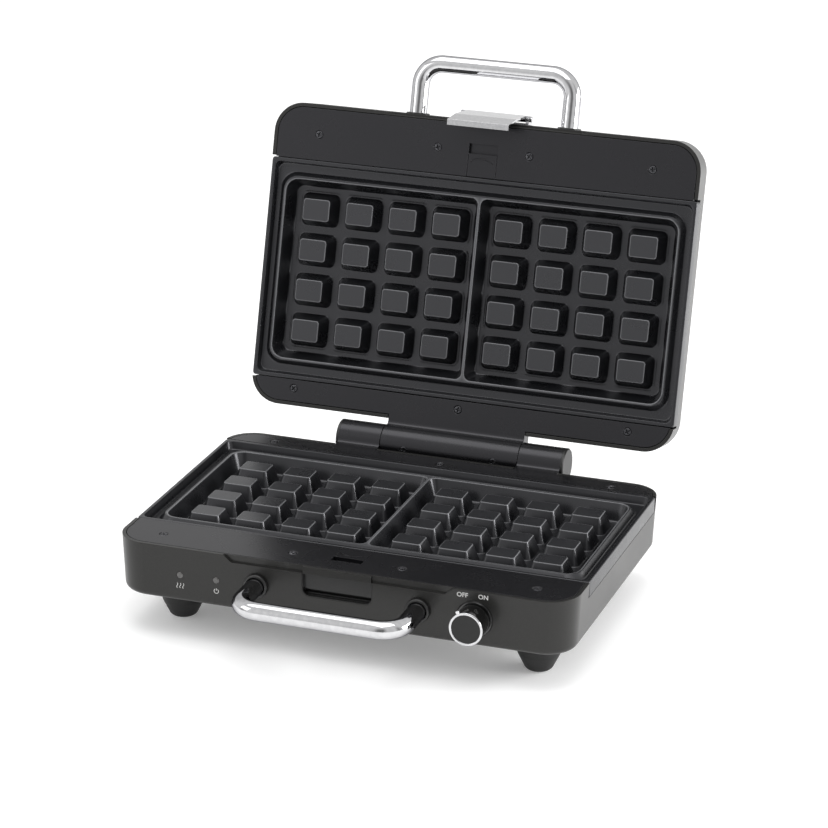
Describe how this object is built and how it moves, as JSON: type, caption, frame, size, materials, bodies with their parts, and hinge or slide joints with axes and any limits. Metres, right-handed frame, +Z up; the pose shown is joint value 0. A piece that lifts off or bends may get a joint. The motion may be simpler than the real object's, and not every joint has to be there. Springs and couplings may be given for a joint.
{
  "type": "hot sandwich and waffle maker",
  "caption": "Countertop cooker with a hinged lid standing open, removable waffle plates, bent tube handles, a swinging latch clip, a rotary switch and plate release sliders",
  "frame": {"origin": "middle of the open cooker's bounding box, on the surface it stands on", "axes": "+X to the right seen from the front, +Y to the back, +Z up"},
  "size_m": [0.297, 0.349, 0.3053],
  "materials": {
    "housing": "dark warm grey metallic lacquer on moulded plastic, satin",
    "black_trim": "black moulded plastic, satin",
    "cover_sheet": "pressed steel sheet, painted black",
    "strip": "black heat-resistant plastic, satin",
    "ferrule": "black plastic collar",
    "plate": "cast, black non-stick coating, satin",
    "element": "dull heat-stained steel tube",
    "reflector": "bright sheet",
    "chrome": "polished chrome",
    "latch_steel": "polished plated steel",
    "screw": "plated steel",
    "pin": "plain steel",
    "knob_gloss": "gloss black",
    "knob_face": "dark grey, satin",
    "lamp_heat": "clear lens, unlit",
    "lamp_power": "clear lens, unlit",
    "foot": "black rubber",
    "gland": "black rubber"
  },
  "bodies": {
    "base": {"base_ferrule_left": "ferrule", "base_ferrule_right": "ferrule", "base_front_strip": "strip", "base_handle": "chrome", "base_housing": "housing", "base_rear_strip": "strip", "base_screw_1": "screw", "base_screw_2": "screw", "base_screw_3": "screw", "base_screw_4": "screw", "base_screw_5": "screw", "base_screw_6": "screw", "base_screw_7": "screw", "bottom_cover": "cover_sheet", "cord_gland": "gland", "foot_front_left": "foot", "foot_front_right": "foot", "foot_rear_left": "foot", "foot_rear_right": "foot", "heat_lamp": "lamp_heat", "hinge_pin": "pin", "knob_collar": "black_trim", "knuckle_cap_left": "black_trim", "knuckle_cap_right": "black_trim", "latch_catch": "black_trim", "lower_heating_element": "element", "lower_reflector": "reflector", "lower_waffle_plate": "plate", "power_lamp": "lamp_power", "rotary_switch": "black_trim"},
    "knob": {"knob_body": "knob_gloss", "knob_ring": "chrome", "knob_face": "knob_face", "knob_shaft": "pin"},
    "base_slider": {"base_release_slider": "strip"},
    "lid": {"barrel_screw_left": "screw", "barrel_screw_right": "screw", "latch_bracket": "latch_steel", "latch_pin": "latch_steel", "lid_ferrule_left": "ferrule", "lid_ferrule_right": "ferrule", "lid_front_strip": "strip", "lid_handle": "chrome", "lid_housing": "housing", "lid_rear_strip": "strip", "lid_screw_1": "screw", "lid_screw_2": "screw", "lid_screw_3": "screw", "lid_screw_4": "screw", "lid_screw_5": "screw", "lid_screw_6": "screw", "lid_screw_7": "screw", "upper_heating_element": "element", "upper_reflector": "reflector", "upper_waffle_plate": "plate"},
    "latch": {"latch_clip": "latch_steel"},
    "lid_slider": {"lid_release_slider": "strip"}
  },
  "joints": [
    {"name": "lid_hinge", "type": "hinge", "parent": "base", "child": "lid", "pos_m": [0, 0.08567, 0.0608], "axis": [1, 0, 0], "range_deg": [0, 105.5]},
    {"name": "latch_swing", "type": "hinge", "parent": "lid", "child": "latch", "pos_m": [0, 0.16687, 0.2683], "axis": [1, 0, 0], "range_deg": [-62, 0.5]},
    {"name": "knob_turn", "type": "hinge", "parent": "base", "child": "knob", "pos_m": [0.088, -0.14118, 0.0436], "axis": [0, 1, 0], "range_deg": [0, 50]},
    {"name": "base_release", "type": "slide", "parent": "base", "child": "base_slider", "axis": [0, -1, 0], "range_m": [0, 0.006], "stiffness_N_per_m": 150, "springref_m": -0.006},
    {"name": "lid_release", "type": "slide", "parent": "lid", "child": "lid_slider", "axis": [0, 0.2672, 0.9636], "range_m": [0, 0.006], "stiffness_N_per_m": 150, "springref_m": -0.006}
  ]
}
